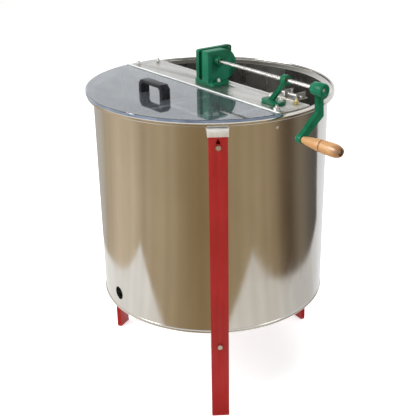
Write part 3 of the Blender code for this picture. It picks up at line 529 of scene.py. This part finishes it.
# The grip's outline: radius and place along its length, both as shares of the whole
GRIP_SHAPE = ((0.477, 0.0), (0.523, 0.03), (0.648, 0.14), (0.784, 0.29), (0.886, 0.42), (0.920, 0.49),
              (0.858, 0.505), (0.858, 0.525), (0.938, 0.54), (0.977, 0.64), (1.0, 0.76),
              (0.977, 0.86), (0.864, 0.945), (0.66, 1.0))
GRIP_GROOVE = range(5, 8)               # these stretches of the outline stay straight
GRIP_BURNT = (0.497, 0.533)
GRIP_BORE = 5.3 * MM
GRIP_RECESS = 9.0 * MM                  # radius and depth of the recess in the far end


def curve_point(p0, p1, p2, p3, t):
    """Catmull-Rom point between p1 and p2."""
    return 0.5 * ((2 * p1) + (p2 - p0) * t + (2 * p0 - 5 * p1 + 4 * p2 - p3) * t * t
                  + (-p0 + 3 * p1 - 3 * p2 + p3) * t ** 3)


def grip(wood, line):
    """Finely turned grip with a burnt groove."""
    low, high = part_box("grip")
    length = high[0] - low[0]
    widest = (high[1] - low[1]) / 2
    curve = [Vector((widest * r, low[0] + t * length)) for r, t in GRIP_SHAPE]
    last = len(curve) - 1
    profile = []
    for i in range(last):
        p0, p1, p2, p3 = curve[max(i - 1, 0)], curve[i], curve[i + 1], curve[min(i + 2, last)]
        for k in range(4):
            t = k / 4
            point = p1.lerp(p2, t) if i in GRIP_GROOVE else curve_point(p0, p1, p2, p3, t)
            profile.append((min(point.x, widest), point.y))
    end = high[0]
    seat = end - GRIP_RECESS
    profile += [curve[-1].to_tuple(), (GRIP_RECESS, end), (GRIP_RECESS, seat), (GRIP_BORE, seat),
                (GRIP_BORE, low[0])]
    bm = lathe_mesh(profile, 72)
    bmesh.ops.rotate(bm, verts=bm.verts, cent=(0, 0, 0), matrix=Matrix.Rotation(math.pi / 2, 3, 'Y'))
    bmesh.ops.translate(bm, verts=bm.verts, vec=(0, (low[1] + high[1]) / 2, (low[2] + high[2]) / 2))
    obj = new_object("grip_wood", bm, wood, "grip", 40.0)
    obj.data.materials.append(line)
    start, stop = (low[0] + share * length for share in GRIP_BURNT)
    for face in obj.data.polygons:
        if start < face.center.x < stop:
            face.material_index = 1
    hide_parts("grip")


LID_SHEET = 3.0 * MM
LID_LIP = 1.8 * MM
LID_ROUND = 1.2 * MM                    # chamfer between the top and the lip
LID_STEPS = 160


def lid(clear, edge_mat):
    """The sheet and its lip as one fine piece with a softened edge."""
    low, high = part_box("lid")
    radius = AXIS_Y - low[1]
    a = math.degrees(math.asin((high[1] - AXIS_Y) / radius))
    outer, inner, soft = (arc((AXIS_X, AXIS_Y), r, 180 - a, 360 + a, LID_STEPS)
                          for r in (radius, radius - LID_LIP, radius - LID_ROUND))
    top = high[2]
    bottom = low[2]
    bm = bmesh.new()
    rings = [(inner, top - LID_SHEET), (inner, bottom), (outer, bottom), (outer, top - LID_ROUND),
             (soft, top)]
    loops = [[bm.verts.new((x, y, z)) for x, y in points] for points, z in rings]
    for first, second in zip(loops, loops[1:]):
        for i in range(LID_STEPS):
            bm.faces.new((first[i], first[i + 1], second[i + 1], second[i]))
    bm.faces.new(loops[-1])
    bm.faces.new(loops[0][::-1])
    bm.faces.new([loop[0] for loop in loops])
    bm.faces.new([loop[-1] for loop in loops][::-1])
    bm.faces.new((loops[0][0], loops[0][-1], loops[-1][-1], loops[-1][0]))
    obj = new_object("lid_sheet", bm, clear, "lid", 30.0)
    obj.data.materials.append(edge_mat)
    for face in obj.data.polygons:
        upright = abs(face.normal.y) + abs(face.normal.x) > 0.5
        if upright and len(face.vertices) == 4 and face.center.z < top - 0.9 * MM:
            face.material_index = 1
    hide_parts("lid")


def add_box(bm, low, high):
    """A box between two corners."""
    corners = [Vector((x, y, z)) for z in (low[2], high[2]) for y in (low[1], high[1])
               for x in (low[0], high[0])]
    verts = [bm.verts.new(corner) for corner in corners]
    for loop in ((0, 2, 3, 1), (4, 5, 7, 6), (0, 1, 5, 4), (2, 6, 7, 3), (0, 4, 6, 2), (1, 3, 7, 5)):
        bm.faces.new([verts[i] for i in loop])


CAGE_BAR = 12.0 * MM
CAGE_SHEET = 2.0 * MM
CAGE_WIRE = 1.1 * MM
CAGE_PITCH = 11.0 * MM                  # from wire to wire


def wire_cage(node, mat):
    """One comb cage: a frame of flat bars with wire screens on its two wide faces."""
    low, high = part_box(node)
    thin = 0 if high[0] - low[0] < high[1] - low[1] else 1
    wide = 1 - thin
    bar, sheet, wire, pitch = CAGE_BAR, CAGE_SHEET, CAGE_WIRE, CAGE_PITCH
    bm = bmesh.new()

    def slab(t0, t1, w0, w1, z0, z1):
        """A box given through the cage's thickness, along its width and in height."""
        a, b = [0, 0, z0], [0, 0, z1]
        a[thin], b[thin], a[wide], b[wide] = t0, t1, w0, w1
        add_box(bm, a, b)

    for w0 in (low[wide], high[wide] - sheet):
        slab(low[thin], high[thin], w0, w0 + sheet, low[2], high[2])
    slab(low[thin], high[thin], low[wide], high[wide], low[2], low[2] + sheet)
    for t0 in (low[thin], high[thin] - sheet):
        for w0 in (low[wide], high[wide] - bar):
            slab(t0, t0 + sheet, w0, w0 + bar, low[2], high[2])
        for z0 in (low[2], high[2] - bar):
            slab(t0, t0 + sheet, low[wide], high[wide], z0, z0 + bar)
        middle = t0 + (sheet - wire) / 2
        for i in range(1, int((high[wide] - low[wide]) / pitch)):
            w0 = low[wide] + i * pitch
            slab(middle - wire / 2, middle + wire / 2, w0, w0 + wire, low[2] + sheet, high[2] - sheet)
        for i in range(1, int((high[2] - low[2]) / pitch)):
            z0 = low[2] + i * pitch
            slab(middle + wire / 2, middle + 1.5 * wire, low[wide] + sheet, high[wide] - sheet,
                 z0, z0 + wire)
    obj = new_object(node + "_screens", bm, mat, "basket", 30.0, smooth=False)
    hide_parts(node)


RIVET_AZIMUTH = math.radians(-7.5)
RIVET_Z = RIM - 41.0 * MM
RIVET_R = 4.2 * MM


def rivet(mat):
    """The dome of one rivet under the collar."""
    bm = bmesh.new()
    bmesh.ops.create_uvsphere(bm, u_segments=24, v_segments=12, radius=RIVET_R)
    bmesh.ops.scale(bm, verts=bm.verts, vec=(0.45, 1.0, 1.0))
    bmesh.ops.rotate(bm, verts=bm.verts, cent=(0, 0, 0), matrix=Matrix.Rotation(RIVET_AZIMUTH, 3, 'Z'))
    bmesh.ops.translate(bm, verts=bm.verts, vec=wall_point(RIVET_AZIMUTH, TANK_R + 1.2 * MM, RIVET_Z))
    new_object("rivet", bm, mat, "stand", 60.0)


# ---------------------------------------------------------------- scene

def camera():
    """Camera at the picture's viewing angle."""
    data = bpy.data.cameras.new("camera")
    data.lens = CAMERA_LENS
    data.shift_x = CAMERA_SHIFT
    obj = bpy.data.objects.new("camera", data)
    bpy.context.scene.collection.objects.link(obj)
    place = Vector((AXIS_X, AXIS_Y, RIM)) + Vector(CAMERA_OFFSET)
    obj.matrix_world = (Matrix.Translation(place) @ Matrix.Rotation(CAMERA_HEADING - math.pi / 2, 4, 'Z')
                        @ Matrix.Rotation(math.pi / 2 - CAMERA_PITCH, 4, 'X')
                        @ Matrix.Rotation(CAMERA_ROLL, 4, 'Z'))
    bpy.context.scene.camera = obj


def area_light(name, place, target, size, power, color=(1.0, 1.0, 1.0)):
    """Rectangular light that faces a target."""
    data = bpy.data.lights.new(name, 'AREA')
    data.shape = 'RECTANGLE'
    data.size, data.size_y = size
    data.energy = power
    data.color = color
    obj = bpy.data.objects.new(name, data)
    bpy.context.scene.collection.objects.link(obj)
    obj.location = place
    obj.rotation_euler = (Vector(target) - Vector(place)).to_track_quat('-Z', 'Y').to_euler()
    return obj


def stage_mesh(name, bm, mat):
    """A piece of the set, which isn't part of the object."""
    obj = link_mesh(name, bm)
    obj.data.materials.append(mat)
    return obj


# The polished wall shows the room round it. Azimuths here are in degrees.
ROOM_EDGE = 1.35                        # from here outwards the room is tan all round
FAR = 20.0                              # no tan floor at azimuths without a bay's outline
# Pale bays reach from the tank outwards: first and last azimuth, tip's radius, power of the outline
LOBES = ((-200.0, -107.0, 1.00, 4.0), (-107.0, -3.0, 0.58, 1.9), (-3.0, 82.0, 1.03, 3.0))
# Colours of the tan room and of the bays at azimuths
ROOM = ((-172, (0.52, 0.49, 0.45)), (-155, (0.50, 0.42, 0.30)), (-134, (0.70, 0.58, 0.43)),
        (-116, (0.63, 0.53, 0.38)), (-101, (0.47, 0.37, 0.25)), (-86, (0.48, 0.38, 0.245)),
        (-48, (0.29, 0.205, 0.106)), (-6, (0.40, 0.31, 0.185)), (12, (0.38, 0.29, 0.175)),
        (36, (0.125, 0.088, 0.057)), (52, (0.22, 0.185, 0.138)), (75, (0.12, 0.11, 0.10)))
BAYS = ((-140, (0.93, 0.92, 0.90)), (-60, (0.86, 0.83, 0.79)), (0, (0.72, 0.69, 0.64)),
        (55, (0.64, 0.63, 0.62)), (90, (0.86, 0.87, 0.90)))
UNDER = Vector((0.10, 0.092, 0.075))    # the shaded floor close round the tank
UNDER_EDGE = 0.44
CARD_Z = 0.004
# close together as far as the bays reach, then wider
CARD_RADII = [0.36 + 1.3 * (i / 65) for i in range(66)] + [2.0, 2.6, 3.5, 5.0, 8.0]


def ease(t):
    """Smooth step for t between 0 and 1."""
    return t * t * (3 - 2 * t)


def clamp(t):
    """t held between 0 and 1."""
    return min(1.0, max(0.0, t))


def blend(stops, azimuth):
    """Colour at an azimuth between stops, streaked a little from one degree to the next."""
    if azimuth <= stops[0][0]:
        return Vector(stops[0][1])
    for (a, first), (b, second) in zip(stops, stops[1:]):
        if azimuth <= b:
            streak = 1.0 + 0.11 * noise.noise(Vector((azimuth * 0.16, 0.0, 0.0)))
            return Vector(first).lerp(Vector(second), ease((azimuth - a) / (b - a))) * streak
    return Vector(stops[-1][1])


def lobe_edge(azimuth):
    """Radius at which the tan floor begins at an azimuth."""
    for start, stop, tip, power in LOBES:
        if start <= azimuth <= stop:
            u = abs(2 * azimuth - start - stop) / (stop - start)
            return ROOM_EDGE - (ROOM_EDGE - tip) * (1.0 - u ** power)
    return FAR


def room_card():
    """Tan room with pale bays on the floor that only reflections see."""
    glow = bpy.data.materials.new("room_card")
    glow.use_nodes = True
    tree = glow.node_tree
    tree.nodes.clear()
    output = tree.nodes.new("ShaderNodeOutputMaterial")
    light = tree.nodes.new("ShaderNodeEmission")
    color = tree.nodes.new("ShaderNodeAttribute")
    color.attribute_name = "room"
    tree.links.new(color.outputs["Color"], light.inputs["Color"])
    tree.links.new(light.outputs[0], output.inputs["Surface"])

    bm = bmesh.new()
    layer = bm.verts.layers.float_color.new("room")
    rows = []
    for i in range(360):
        azimuth = LOBES[0][0] + i
        edge = lobe_edge(azimuth)
        row = []
        for radius in CARD_RADII:
            vert = bm.verts.new(wall_point(math.radians(azimuth), radius, CARD_Z))
            tan = ease(clamp((radius - edge) / 0.07 + 0.5))
            tone = blend(BAYS, azimuth).lerp(blend(ROOM, azimuth), tan)
            tone = UNDER.lerp(tone, clamp((radius - UNDER_EDGE) / 0.05))
            vert[layer] = (*tone, 1.0)
            row.append(vert)
        rows.append(row)
    for a, b in zip(rows, rows[1:] + rows[:1]):
        for j in range(len(CARD_RADII) - 1):
            bm.faces.new((a[j], a[j + 1], b[j + 1], b[j]))
    card = stage_mesh("room_floor", bm, glow)
    card.visible_camera = False
    card.visible_diffuse = False
    card.visible_shadow = False
    card.visible_transmission = False
    card.visible_volume_scatter = False


# The sky's colour from level (0) to straight up (1), dark overhead
SKY = ((0.0, (0.97, 0.975, 0.98)), (0.16, (0.92, 0.93, 0.945)), (0.50, (0.66, 0.68, 0.70)),
       (0.72, (0.30, 0.295, 0.28)), (0.90, (0.13, 0.125, 0.115)))


def studio():
    """White floor and soft lights, with a card that gives the polished wall its room."""
    bpy.context.scene.view_settings.view_transform = 'Standard'
    floor = Shader("studio_floor", (0.9, 0.9, 0.9), 0.0, 0.6)
    cloud = floor.noise(floor.coords(), 0.8, 3.0)
    floor.color(floor.two_tone(cloud, (0.93, 0.93, 0.925), (0.95, 0.95, 0.945)))
    floor.set(Emission_Color=(1.0, 1.0, 1.0, 1.0), Emission_Strength=0.5)
    bm = bmesh.new()
    bmesh.ops.create_circle(bm, cap_ends=True, segments=64, radius=30.0)
    stage_mesh("floor", bm, floor.mat)

    world = bpy.data.worlds.new("studio")
    bpy.context.scene.world = world
    world.use_nodes = True
    tree = world.node_tree
    back = tree.nodes["Background"]
    up = tree.nodes.new("ShaderNodeSeparateXYZ")
    ramp = tree.nodes.new("ShaderNodeValToRGB")
    fill_ramp(ramp, SKY)
    tree.links.new(tree.nodes.new("ShaderNodeTexCoord").outputs["Generated"], up.inputs[0])
    tree.links.new(up.outputs["Z"], ramp.inputs["Fac"])
    tree.links.new(ramp.outputs["Color"], back.inputs["Color"])
    back.inputs["Strength"].default_value = 1.0

    middle = (AXIS_X, AXIS_Y, 0.6)
    area_light("key", (-1.6, -3.4, 3.4), middle, (2.6, 2.2), 175.0, (1.0, 0.985, 0.96))
    area_light("fill", (3.6, 1.4, 2.6), middle, (1.6, 2.0), 14.0, (0.96, 0.98, 1.0))
    top = area_light("top", (-0.2, 0.4, 4.4), middle, (3.4, 3.4), 130.0)
    top.visible_glossy = False
    room_card()


# ---------------------------------------------------------------- assembly

def numbered(stem, count):
    """Node names from stem_1 to stem_count."""
    return [f"{stem}_{i}" for i in range(1, count + 1)]


def main():
    """Make the pieces, paint the CAD nodes that stay, then set the scene."""
    steel = polished_steel()
    satin = satin_steel()
    bright = bright_steel()
    green = green_enamel()
    red = red_paint()
    # the inside's steel carries painted shade: the same sheet coloured darker
    inner = inner_steel_painted_shade()
    bare = bare_steel()
    tank(steel, inner)
    grip(varnished_wood(), burnt_line())
    lid(clear_sheet(), blue_edge())

    soften("crossbar", 0.8 * MM, 2, satin)
    soften("gearbox_case", 1.6 * MM, 3, green)
    soften("gearbox_cover", 1.6 * MM, 3, green)
    soften("bearing_bracket", 1.4 * MM, 3, green)
    soften("crank_arm", 1.8 * MM, 3, green)
    soften("lid_handle", 1.6 * MM, 3, black_plastic())
    # the lid's edge strip, white as a painted highlight
    soften("lid_edge_strip", 0.7 * MM, 2, white_strip())
    for i in (1, 2, 3):
        soften(f"leg_{i}", 0.9 * MM, 2, red)
        soften(f"leg_socket_{i}", 0.7 * MM, 2, bare)
    soften("base_frame", 0.8 * MM, 2, red)
    for node in numbered("frame_cage", 4):
        wire_cage(node, satin)
    rivet(bright)

    # the tank's floor takes the same painted shade
    paint(inner, "tank_floor")
    paint(satin, "bar_lug_1", "bar_lug_2", "basket_foot", "basket_top")
    paint(dark_steel(), "latch_bracket")
    paint(bright, "crank_shaft", "crank_set_screw", "pivot_cup", "grip_spindle", "basket_shaft",
          "latch_bolt", *numbered("handle_screw", 2), *numbered("crossbar_bolt", 3),
          *numbered("gearbox_bolt", 2), *numbered("bracket_bolt", 2), *numbered("cover_screw", 4),
          *numbered("leg_bolt_upper", 3), *numbered("leg_bolt_lower", 3))
    paint(brass(), "crossbar_bolt_4")
    paint(bronze(), "case_bush", "bracket_bush", "top_bush")
    paint(gear_steel(), "bevel_gear", "bevel_pinion")
    camera()
    studio()


main()
